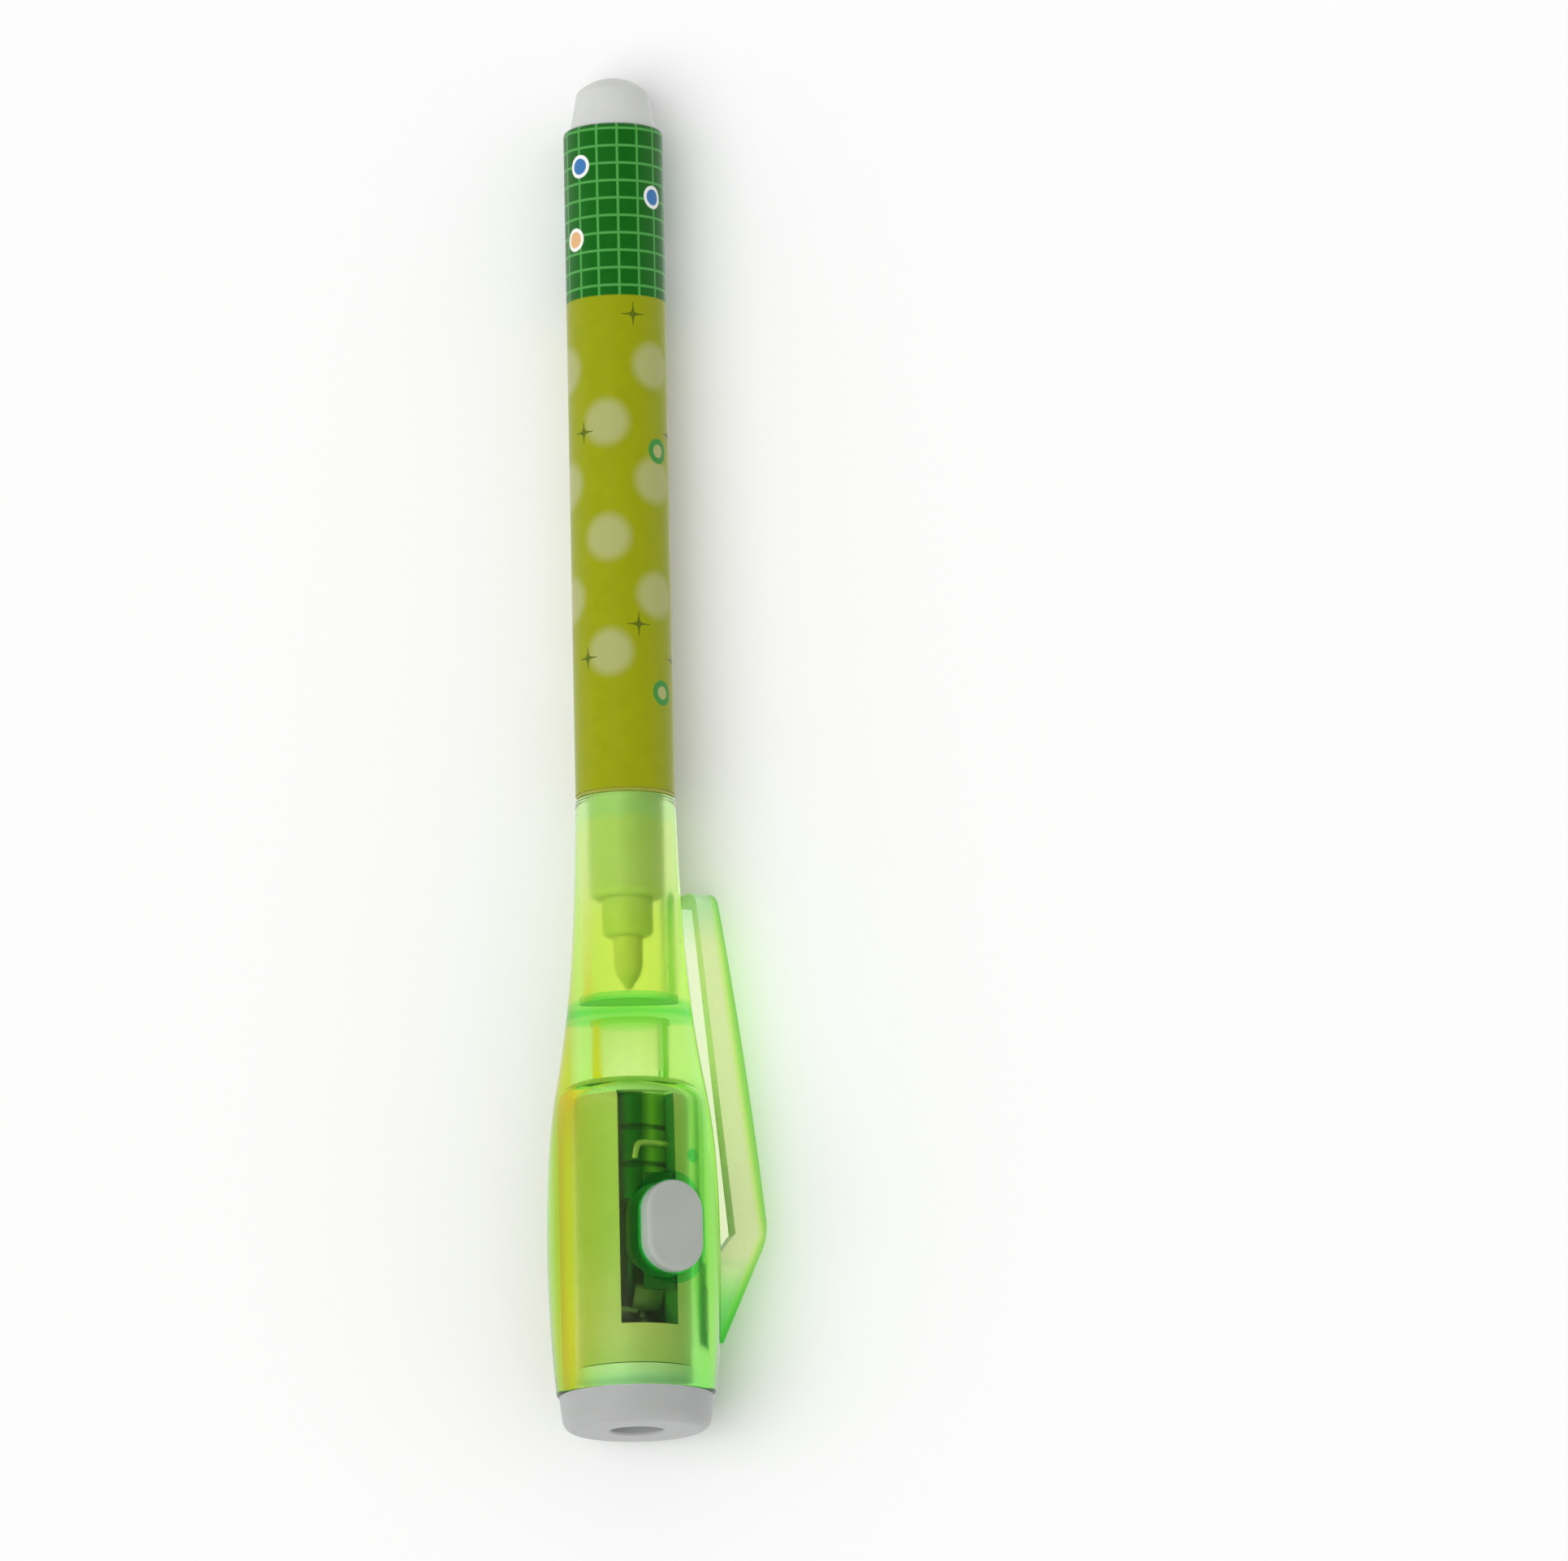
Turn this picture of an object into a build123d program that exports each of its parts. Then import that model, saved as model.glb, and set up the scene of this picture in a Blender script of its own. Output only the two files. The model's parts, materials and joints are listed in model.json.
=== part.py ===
import os
from math import asin, atan2, degrees, hypot, sqrt

from build123d import *

# A slim felt-tip pen for invisible ink, with a small ultraviolet lamp in its cap.
# Sizes are in millimetres. While it is built, the pen stands on its lamp end: Z runs along its
# axis from the lamp's face to the tail, the clip is on +X and the lamp's button on -Y.
# At the end it is laid on its cap, tail and clip, as it lies on a table.

# Barrel and its printed film
barrel_length = 66.3
barrel_radius = 4.75
barrel_wall = 0.8
barrel_end_round = 0.45
film_thickness = 0.1
film_setback = 0.3

# Nose section, nib and ink store
section_radius = 3.65
section_length = 10.1
section_spigot = 11.0
holder_radius = 2.45
holder_length = 3.8
holder_round = 0.7
nib_radius = 1.4
nib_reach = 5.2
nib_straight = 2.4
nib_tip_radius = 0.5
nib_tail = 5.0
ink_rod_radius = 3.1
ink_rod_length = 50.0
ink_seat = 8.0
wrap_thickness = 0.1

# Tail plug
plug_height = 5.4
plug_spigot = 6.0
plug_wall = 0.9
plug_lip = 0.49
plug_neck_radius = 3.85
plug_dome_radius = 3.5
plug_neck_height = 1.9
plug_dome_height = 1.5
plug_round = 0.6

# Lamp: cells, carrier, contacts and light-emitting diode
cell_count = 3
cell_diameter = 7.9
cell_height = 3.6
cell_rim = 0.7
cell_rim_step = 0.35
carrier_wall = 1.4
carrier_floor = 3.8
carrier_rim = 1.3
carrier_round = 2.2
switch_bay = 12.0
bay_ledge = 0.45
window_width = 5.15
window_shift = 0.9
contact_thickness = 0.3
strip_width = 2.2
strip_offset = 1.5
leg_size = 0.5
leg_pitch = 2.54
leg_bend = 0.6
leg_kink_start = 1.5
leg_kink_length = 1.5
lens_radius = 2.5
lens_length = 7.6
lens_flange = 0.4
lens_flange_height = 1.0
blade_thickness = 0.2
blade_width = 3.0
blade_rise = 1.2
blade_inset = 0.25
blade_end_room = 0.9

# Cap shell
end_cap_height = 3.4
end_cap_radius = 7.5
end_cap_face_radius = 7.1
end_cap_round = 1.3
end_cap_spigot = 2.4
end_cap_spigot_wall = 0.95
base_wall = 2.15
belly_wall = 2.82
upper_wall = 2.55
shoulder_wall = 1.62
throat_wall = 1.7
mouth_wall = 1.15
belly_height = 12.0
upper_drop = 7.4
throat_drop = 13.8
neck_cavity_radius = 3.0
neck_cavity_length = 6.0
cross_wall = 1.8
rim_round = 0.3

# Button
button_rise = 15.3
button_width = 6.0
button_length = 9.0
button_proud = 1.0
button_depth = 2.4
button_round = 0.5
button_travel = 0.7
button_tab_width = 2.8
button_tab_length = 1.2
button_tab_height = 0.5
button_rib_length = 6.2
button_stem_radius = 1.2

# Clip
clip_width = 5.2
clip_tip_width = 4.4
clip_wall = 1.1
clip_web = 1.2
clip_foot_height = 5.3
clip_channel_height = 13.4
clip_elbow_height = 16.2
clip_elbow_rise = 5.1
clip_elbow_round = 6.0
clip_tip_drop = 9.0
clip_tip_rise = 3.9
clip_tip_depth = 2.5
clip_inner_rise = 1.35
clip_bow = 0.3
clip_edge_round = 0.5
clip_tip_round = 1.3
clip_tenon_width = 2.6
clip_tenon_length = 4.0
clip_tenon_depth = 1.1
clip_tenon_start = 1.4

# Clearances
cap_fit = 0.07
mouth_gap = 0.1
seam_gap = 0.05
spigot_fit = 0.05
press_fit = 0.02
ink_fit = 0.1
nib_fit = 0.03
nib_room = 1.4
cell_fit = 0.1
cell_gap = 0.02
carrier_fit = 0.15
carrier_end_room = 0.2
strip_fit = 0.1
lens_fit = 0.1
button_fit = 0.12
stem_gap = 0.05
foot_gap = 0.08
tenon_fit = 0.1
tenon_swing = 0.25

# Radii that follow from the fits
film_radius = barrel_radius + film_thickness
barrel_bore = barrel_radius - barrel_wall
spigot_radius = barrel_bore - press_fit
section_bore = ink_rod_radius + wrap_thickness + ink_fit
chamber_radius = section_radius + cap_fit
cell_radius = cell_diameter / 2
cell_bore = cell_radius + cell_fit
bay_radius = cell_radius - bay_ledge
carrier_radius = cell_bore + carrier_wall
lamp_bore = carrier_radius + carrier_fit
lens_bore = lens_radius + lens_fit

# Heights along the axis, from the lamp's face to the tail
shell_base = end_cap_height + seam_gap
carrier_bottom = end_cap_height + end_cap_spigot + 2 * seam_gap
floor_top = carrier_bottom + carrier_floor
lens_back = floor_top + lens_flange_height
cells_bottom = floor_top + switch_bay
cells_top = cells_bottom + cell_count * (cell_height + cell_gap)
carrier_top = cells_top + carrier_rim
lamp_top = carrier_top + carrier_end_room
cross_wall_bottom = lamp_top + neck_cavity_length
cross_wall_top = cross_wall_bottom + cross_wall
nib_tip = cross_wall_top + nib_room
holder_front = nib_tip + nib_reach
section_front = holder_front + holder_length
barrel_front = section_front + section_length
mouth = barrel_front - mouth_gap
barrel_rear = barrel_front + barrel_length
ink_front = barrel_front + section_spigot - ink_seat
belly = shell_base + belly_height
belly_radius = lamp_bore + belly_wall


def draw_shell_section(grow):
    """Half of the cap's solid outline, in arcs that meet smoothly, moved outwards by grow."""
    base = (lamp_bore + base_wall + grow, shell_base)
    widest = (belly_radius + grow, belly)
    upper = (lamp_bore + upper_wall + grow, lamp_top - upper_drop)
    shoulder = (lamp_bore + shoulder_wall + grow, lamp_top)
    throat = (chamber_radius + throat_wall + grow, mouth - throat_drop)
    rim = (chamber_radius + mouth_wall + grow, mouth)
    lower_arc = ThreePointArc(base, widest, upper)
    shoulder_arc = TangentArc(upper, shoulder, tangent=lower_arc % 1)
    throat_arc = TangentArc(shoulder, throat, tangent=shoulder_arc % 1)
    TangentArc(throat, rim, tangent=throat_arc % 1)
    Polyline(rim, (0, mouth), (0, shell_base), base)


# Barrel: a moulded tube with a rounded tail edge
with BuildPart() as barrel:
    with BuildSketch(Plane.XZ):
        with Locations(((barrel_bore + barrel_radius) / 2, (barrel_front + barrel_rear) / 2)):
            Rectangle(barrel_wall, barrel_length)
    revolve(axis=Axis.Z)
    tail_edges = barrel.edges().filter_by(GeomType.CIRCLE).group_by(Axis.Z)[-1]
    fillet(tail_edges.sort_by(SortBy.RADIUS)[-1], barrel_end_round)
barrel.part.label = "barrel"

# Printed film: a thin sleeve that follows the barrel over its rounded tail edge
film_front = barrel_front + film_setback
film_rear = barrel_rear - barrel_end_round
film_end = barrel_radius - barrel_end_round
with BuildPart() as print_film:
    with BuildSketch(Plane.XZ):
        with BuildLine():
            outer = CenterArc((film_end, film_rear), barrel_end_round + film_thickness, 0, 90)
            inner = CenterArc((film_end, film_rear), barrel_end_round, 0, 90)
            Line(outer @ 1, inner @ 1)
            Polyline(inner @ 0, (barrel_radius, film_front), (film_radius, film_front), outer @ 0)
        make_face()
    revolve(axis=Axis.Z)
print_film.part.label = "print_film"

# Tail plug: a hollow spigot in the barrel, a tapered neck outside it and a low dome
with BuildPart() as tail_plug:
    lip_radius = barrel_radius - plug_lip
    neck_top = barrel_rear + plug_neck_height
    dome_base = barrel_rear + plug_height - plug_dome_height
    dome_curve = (plug_dome_radius**2 + plug_dome_height**2) / (2 * plug_dome_height)
    dome_sag = dome_curve - sqrt(dome_curve**2 - (plug_dome_radius / 2) ** 2)
    dome_middle = barrel_rear + plug_height - dome_sag
    with BuildSketch(Plane.XZ):
        with BuildLine():
            rim = Polyline(
                (0, barrel_rear),
                (spigot_radius - plug_wall, barrel_rear),
                (spigot_radius - plug_wall, barrel_rear - plug_spigot),
                (spigot_radius, barrel_rear - plug_spigot),
                (spigot_radius, barrel_rear),
                (lip_radius, barrel_rear),
            )
            flank = Spline(
                (lip_radius, barrel_rear),
                (plug_neck_radius, neck_top),
                (plug_dome_radius, dome_base),
                tangents=[(-0.28, 1), (-0.15, 1)],
            )
            crown = ThreePointArc(
                flank @ 1, (plug_dome_radius / 2, dome_middle), (0, barrel_rear + plug_height)
            )
            Line(crown @ 1, rim @ 0)
        make_face()
        fillet(vertices().sort_by_distance((plug_dome_radius, dome_base))[0], plug_round)
    revolve(axis=Axis.Z)
tail_plug.part.label = "tail_plug"

# Nose section: a spigot in the barrel, the part that the cap slides on, and the nib holder
with BuildPart() as nose_section:
    with BuildSketch(Plane.XZ):
        with BuildLine():
            Polyline(
                (0, holder_front),
                (holder_radius, holder_front),
                (holder_radius, section_front),
                (section_radius, section_front),
                (section_radius, barrel_front),
                (spigot_radius, barrel_front),
                (spigot_radius, barrel_front + section_spigot),
                (0, barrel_front + section_spigot),
                close=True,
            )
        make_face()
    revolve(axis=Axis.Z)
    front_edges = nose_section.edges().filter_by(GeomType.CIRCLE).group_by(Axis.Z)
    fillet(front_edges[0], holder_round)
    fillet(front_edges[1].sort_by(SortBy.RADIUS)[-1], holder_round)
    with BuildSketch(Plane.XY.offset(ink_front)):
        Circle(section_bore)
    extrude(amount=barrel_front + section_spigot - ink_front, mode=Mode.SUBTRACT)
    with BuildSketch(Plane.XY.offset(holder_front)):
        Circle(nib_radius + nib_fit)
    extrude(amount=ink_front - holder_front, mode=Mode.SUBTRACT)
nose_section.part.label = "nose_section"

# Nib: a fibre rod with a bullet point, whose back end sits in the ink rod
nib_shoulder = holder_front - nib_straight
with BuildPart() as nib:
    with BuildSketch(Plane.XZ):
        with BuildLine():
            point = TangentArc(
                (nib_radius, nib_shoulder),
                (nib_tip_radius, nib_tip + nib_tip_radius),
                tangent=(0, -1),
            )
            tip = CenterArc((0, nib_tip + nib_tip_radius), nib_tip_radius, 0, -90)
            Polyline(
                tip @ 1,
                (0, ink_front + nib_tail),
                (nib_radius, ink_front + nib_tail),
                point @ 0,
            )
        make_face()
    revolve(axis=Axis.Z)
nib.part.label = "nib"

# Ink rod and the film wrapped round it
with BuildPart() as ink_reservoir:
    with BuildSketch(Plane.XY.offset(ink_front + ink_fit)):
        Circle(ink_rod_radius)
    extrude(amount=ink_rod_length)
    with BuildSketch(Plane.XY.offset(ink_front)):
        Circle(nib_radius + nib_fit)
    extrude(amount=nib_tail + ink_fit, mode=Mode.SUBTRACT)
ink_reservoir.part.label = "ink_reservoir"

with BuildPart() as reservoir_wrap:
    with BuildSketch(Plane.XY.offset(ink_front + ink_fit)):
        Circle(ink_rod_radius + wrap_thickness)
        Circle(ink_rod_radius, mode=Mode.SUBTRACT)
    extrude(amount=ink_rod_length)
reservoir_wrap.part.label = "reservoir_wrap"

# Cap shell: the lamp's chamber below, a cross wall, and the nib's chamber above
button_centre = shell_base + button_rise
tenon_bottom = shell_base + clip_foot_height + clip_tenon_start
tenon_radius = belly_radius - clip_tenon_depth
with BuildPart() as cap_shell:
    with BuildSketch(Plane.XZ):
        with BuildLine():
            draw_shell_section(0)
        make_face()
    revolve(axis=Axis.Z)
    with BuildSketch(Plane.XY.offset(shell_base)):
        Circle(lamp_bore)
    extrude(amount=lamp_top - shell_base, mode=Mode.SUBTRACT)
    lamp_edges = cap_shell.edges().filter_by(GeomType.CIRCLE).filter_by_position(
        Axis.Z, lamp_top - 0.01, lamp_top + 0.01
    )
    fillet(lamp_edges, carrier_round)
    with BuildSketch(Plane.XY.offset(lamp_top - 1)):
        Circle(neck_cavity_radius)
    extrude(amount=neck_cavity_length + 1, mode=Mode.SUBTRACT)
    with BuildSketch(Plane.XY.offset(cross_wall_top)):
        Circle(chamber_radius)
    extrude(amount=mouth - cross_wall_top, mode=Mode.SUBTRACT)
    circles = cap_shell.edges().filter_by(GeomType.CIRCLE).group_by(Axis.Z)
    fillet(circles[-1], rim_round)
    fillet(circles[0].sort_by(SortBy.RADIUS)[-1], rim_round)
    with BuildSketch(Plane.XZ):
        with Locations((0, button_centre)):
            SlotOverall(button_length + 2 * button_fit, button_width + 2 * button_fit, rotation=90)
    extrude(amount=belly_radius + 1, mode=Mode.SUBTRACT)
    with BuildSketch(Plane.YZ.offset(tenon_radius - tenon_fit)):
        with Locations((0, tenon_bottom + (clip_tenon_length + tenon_swing - tenon_fit) / 2)):
            Rectangle(clip_tenon_width + 2 * tenon_fit, clip_tenon_length + tenon_swing + tenon_fit)
    extrude(amount=clip_tenon_depth + 1, mode=Mode.SUBTRACT)
cap_shell.part.label = "cap_shell"

# End cap: a domed-edge disc with the diode's hole, and a ring that plugs into the shell
with BuildPart() as end_cap:
    with BuildSketch(Plane.XZ):
        with BuildLine():
            Polyline(
                (0, 0),
                (end_cap_face_radius, 0),
                (end_cap_radius, end_cap_height),
                (0, end_cap_height),
                close=True,
            )
        make_face()
    revolve(axis=Axis.Z)
    fillet(end_cap.edges().filter_by(GeomType.CIRCLE).sort_by(Axis.Z)[0], end_cap_round)
    with BuildSketch(Plane.XY.offset(end_cap_height)):
        Circle(lamp_bore - spigot_fit)
        Circle(lamp_bore - spigot_fit - end_cap_spigot_wall, mode=Mode.SUBTRACT)
    extrude(amount=end_cap_spigot)
    with BuildSketch(Plane.XY):
        Circle(lens_bore)
    extrude(amount=end_cap_height, mode=Mode.SUBTRACT)
    face_edges = end_cap.edges().filter_by(GeomType.CIRCLE).group_by(Axis.Z)[0]
    fillet(face_edges.sort_by(SortBy.RADIUS)[0], rim_round)
end_cap.part.label = "end_cap"

# Carrier: a sleeve with a floor for the diode, a bay for the switch and a long window, set a
# little away from the clip, that widens round the button
strip_x = cell_radius + strip_fit
strip_back = strip_x + contact_thickness
strip_bottom = lens_back + leg_size
with BuildPart() as light_carrier:
    with BuildSketch(Plane.XY.offset(carrier_bottom)):
        Circle(carrier_radius)
    extrude(amount=carrier_top - carrier_bottom)
    fillet(light_carrier.edges().filter_by(GeomType.CIRCLE).sort_by(Axis.Z)[-1], carrier_round)
    with BuildSketch(Plane.XY.offset(cells_bottom)):
        Circle(cell_bore)
    extrude(amount=carrier_top - cells_bottom, mode=Mode.SUBTRACT)
    with BuildSketch(Plane.XY.offset(floor_top)):
        Circle(bay_radius)
    extrude(amount=switch_bay, mode=Mode.SUBTRACT)
    with BuildSketch(Plane.XY.offset(carrier_bottom)):
        Circle(lens_bore)
    extrude(amount=carrier_floor, mode=Mode.SUBTRACT)
    with BuildSketch(Plane.XZ):
        with Locations((-window_shift, (floor_top + cells_top) / 2)):
            Rectangle(window_width, cells_top - floor_top)
        with Locations((0, button_centre)):
            SlotOverall(button_length + 2 * button_fit, button_width + 2 * button_fit, rotation=90)
    extrude(amount=carrier_radius + 1, mode=Mode.SUBTRACT)
    with BuildSketch(Plane.XY.offset(strip_bottom - strip_fit)):
        with Locations((-(strip_back + strip_fit) / 2, -strip_offset)):
            Rectangle(strip_back + strip_fit, strip_width + 2 * strip_fit)
    extrude(amount=carrier_top - strip_bottom + strip_fit, mode=Mode.SUBTRACT)
light_carrier.part.label = "light_carrier"

# Button cells, with a stepped rim at the end that faces the diode
cells = []
for place in range(cell_count):
    cell_base = cells_bottom + place * (cell_height + cell_gap)
    with BuildPart() as cell:
        with BuildSketch(Plane.XY.offset(cell_base + cell_rim_step)):
            Circle(cell_radius)
        extrude(amount=cell_height - cell_rim_step)
        fillet(cell.edges().filter_by(GeomType.CIRCLE), cell_rim_step * 0.6)
        with BuildSketch(Plane.XY.offset(cell_base)):
            Circle(cell_radius - cell_rim)
        extrude(amount=cell_rim_step)
    cell.part.label = f"cell_{place + 1}"
    cells.append(cell)

# Contact strip: a plate on the top cell, a run down the carrier's groove and a foot
with BuildPart() as contact_strip:
    with BuildSketch(Plane.XY.offset(cells_top)):
        Circle(cell_radius / 2)
        with Locations((-strip_back / 2, -strip_offset)):
            Rectangle(strip_back, strip_width)
    extrude(amount=contact_thickness)
    with BuildSketch(Plane.XY.offset(strip_bottom)):
        with Locations((-(strip_x + strip_back) / 2, -strip_offset)):
            Rectangle(contact_thickness, strip_width)
    extrude(amount=cells_top - strip_bottom)
    with BuildSketch(Plane.XY.offset(strip_bottom)):
        with Locations((-(strip_back + 2 * leg_size) / 2, -strip_offset)):
            Rectangle(strip_back - 2 * leg_size, strip_width)
    extrude(amount=contact_thickness)
contact_strip.part.label = "contact_strip"

# Switch blade: a foot on the strip's foot and a bowed leaf under the button's stem
blade_foot = strip_bottom + contact_thickness
leaf_start = strip_offset + strip_width / 2 - blade_inset
leaf_outer = leaf_start + blade_rise
leaf_end = cells_bottom - blade_end_room
stem_centre = (blade_foot + leaf_end) / 2
with BuildPart() as switch_blade:
    with BuildSketch(Plane.YZ):
        with BuildLine():
            upper = ThreePointArc(
                (-leaf_start, blade_foot), (-leaf_outer, stem_centre), (-leaf_start, leaf_end)
            )
            lower = ThreePointArc(
                (-leaf_start + blade_thickness, leaf_end),
                (-leaf_outer + blade_thickness, stem_centre),
                (-leaf_start + blade_thickness, blade_foot),
            )
            Line(upper @ 1, lower @ 0)
            Line(lower @ 1, upper @ 0)
        make_face()
    extrude(amount=blade_width / 2, both=True)
    with BuildSketch(Plane.XY.offset(blade_foot)):
        with Locations((-(strip_x + 2 * leg_size) / 2, -(leaf_start + leg_size) / 2)):
            Rectangle(strip_x - 2 * leg_size, leaf_start - leg_size)
    extrude(amount=blade_thickness)
switch_blade.part.label = "switch_blade"

# Diode: a round lens with a flange that rests on the carrier's floor, and two square legs
with BuildPart() as led_lens:
    with BuildSketch(Plane.XZ):
        with BuildLine():
            dome_start = floor_top - lens_length + lens_radius
            dome = CenterArc((0, dome_start), lens_radius, -90, 90)
            Polyline(
                dome @ 1,
                (lens_radius, floor_top),
                (lens_radius + lens_flange, floor_top),
                (lens_radius + lens_flange, lens_back),
                (0, lens_back),
                dome @ 0,
            )
        make_face()
    revolve(axis=Axis.Z)
led_lens.part.label = "led_lens"

leg_y = leg_pitch / 2
anode_top = cells_bottom - leg_size / 2
with BuildPart() as led_anode_leg:
    with BuildLine() as anode_path:
        FilletPolyline(
            (0, leg_y, lens_back),
            (0, leg_y, anode_top),
            (0, -leg_y, anode_top),
            radius=leg_bend,
        )
    with BuildSketch(Plane.XY.offset(lens_back)):
        with Locations((0, leg_y)):
            Rectangle(leg_size, leg_size)
    sweep(path=anode_path.wires()[0])
led_anode_leg.part.label = "led_anode_leg"

cathode_y = leaf_outer - blade_thickness - button_travel - leg_size / 2
kink = blade_foot + leg_kink_start
with BuildPart() as led_cathode_leg:
    with BuildLine() as cathode_path:
        FilletPolyline(
            (0, -leg_y, lens_back),
            (0, -leg_y, kink),
            (0, -cathode_y, kink + leg_kink_length),
            (0, -cathode_y, stem_centre + button_stem_radius),
            radius=leg_bend,
        )
    with BuildSketch(Plane.XY.offset(lens_back)):
        with Locations((0, -leg_y)):
            Rectangle(leg_size, leg_size)
    sweep(path=cathode_path.wires()[0])
led_cathode_leg.part.label = "led_cathode_leg"

# Button: an oval pad in the shell's hole on a rib, two tabs that keep it in, and a stem on the blade
button_top = belly_radius + button_proud
button_inner = cell_radius + button_travel + cell_fit
with BuildPart() as push_button:
    with BuildSketch(Plane.XZ.offset(button_top - button_depth)):
        with Locations((0, button_centre)):
            SlotOverall(button_length, button_width, rotation=90)
    extrude(amount=button_depth)
    fillet(push_button.faces().sort_by(Axis.Y)[0].edges(), button_round)
    with BuildSketch(Plane.XZ.offset(button_inner)):
        with Locations((0, button_centre)):
            Rectangle(button_tab_width, button_rib_length)
    extrude(amount=button_top - button_depth - button_inner)
    with BuildSketch(Plane.XZ.offset(button_inner)):
        with Locations((0, button_centre)):
            Rectangle(button_tab_width, button_length + 2 * button_tab_length)
    extrude(amount=button_tab_height)
    with BuildSketch(Plane.XZ.offset(leaf_outer + stem_gap)):
        with Locations((0, stem_centre)):
            Circle(button_stem_radius)
    extrude(amount=button_inner - leaf_outer - stem_gap)
push_button.part.label = "push_button"

# Clip: a channel open towards the cap, on a solid foot with a tenon in the shell's wall
foot = shell_base + clip_foot_height
channel = shell_base + clip_channel_height
elbow = shell_base + clip_elbow_height
elbow_radius = belly_radius + clip_elbow_rise
clip_tip = mouth - clip_tip_drop
tip_radius = chamber_radius + mouth_wall + clip_tip_rise
arm_middle = ((elbow_radius + tip_radius) / 2 + clip_bow, (elbow + clip_tip) / 2)
inner_elbow = (belly_radius + clip_inner_rise, elbow)
inner_tip = (tip_radius - clip_tip_depth, clip_tip)
with BuildPart() as clip:
    with BuildSketch(Plane.XZ):
        with BuildLine():
            arm = ThreePointArc((tip_radius, clip_tip), arm_middle, (elbow_radius, elbow))
            Polyline(
                arm @ 1,
                (belly_radius, foot),
                (belly_radius - 1, foot),
                (belly_radius - 1, channel),
                inner_elbow,
                inner_tip,
                arm @ 0,
            )
        make_face()
    extrude(amount=clip_width / 2, both=True)
    elbow_edge = clip.edges().filter_by(Axis.Y).sort_by(Axis.X)[-1]
    fillet(elbow_edge, clip_elbow_round)
    with BuildSketch(Plane.YZ):
        with BuildLine():
            Polyline(
                (-clip_width / 2, 0),
                (clip_width / 2, 0),
                (clip_width / 2, elbow),
                (clip_tip_width / 2, clip_tip),
                (-clip_tip_width / 2, clip_tip),
                (-clip_width / 2, elbow),
                close=True,
            )
        make_face()
        fillet(vertices().group_by(Axis.Y)[-1], clip_tip_round)
    extrude(amount=2 * elbow_radius, mode=Mode.INTERSECT)
    skin = clip.faces().filter_by(lambda face: face.normal_at().X > 0.7)
    half_bore = clip_tip_width / 2 - clip_wall
    skin_edges = skin.edges().filter_by(lambda edge: abs((edge @ 0.5).Y) > half_bore)
    fillet(skin_edges, clip_edge_round)
    with BuildSketch(Plane.XZ):
        with BuildLine():
            hollow = ThreePointArc(
                (tip_radius - clip_web, clip_tip - clip_web),
                (arm_middle[0] - clip_web, arm_middle[1]),
                (elbow_radius - clip_web, elbow),
            )
            Polyline(
                hollow @ 1,
                (elbow_radius - clip_web - 1, channel),
                (belly_radius - 1, channel),
                (belly_radius - 1, elbow),
                (chamber_radius, clip_tip - clip_web),
                hollow @ 0,
            )
        make_face()
    extrude(amount=half_bore, both=True, mode=Mode.SUBTRACT)
    with BuildSketch(Plane.XZ):
        with BuildLine():
            draw_shell_section(foot_gap)
        make_face()
    revolve(axis=Axis.Z, mode=Mode.SUBTRACT)
    with BuildSketch(Plane.YZ.offset(tenon_radius)):
        with Locations((0, tenon_bottom + clip_tenon_length / 2)):
            Rectangle(clip_tenon_width, clip_tenon_length)
    extrude(amount=clip_tenon_depth + foot_gap)
clip.part.label = "clip"

pieces = [
    barrel,
    print_film,
    tail_plug,
    nose_section,
    nib,
    ink_reservoir,
    reservoir_wrap,
    cap_shell,
    end_cap,
    light_carrier,
    *cells,
    contact_strip,
    switch_blade,
    led_lens,
    led_anode_leg,
    led_cathode_leg,
    push_button,
    clip,
]

# The pen lies on the cap's belly, the film's tail end and the clip's lower corner
tilt = degrees(asin((belly_radius - film_radius) / (film_rear - belly)))
corner_reach = hypot(elbow_radius, clip_width / 2)
roll = degrees(asin(belly_radius / corner_reach) - atan2(clip_width / 2, elbow_radius))
turned = Rot(X=-90 - tilt) * Rot(Z=roll)
reach = Compound([piece.part for piece in pieces]).moved(turned).bounding_box()
laid = Pos(-reach.center().X, -reach.center().Y, -reach.min.Z) * turned

os.makedirs("parts", exist_ok=True)
for piece in pieces:
    piece.part.move(laid)
    export_step(piece.part, f"parts/{piece.part.label}.step")
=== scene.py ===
import json
import math

import bmesh
import bpy
from mathutils import Matrix, Vector

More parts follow.
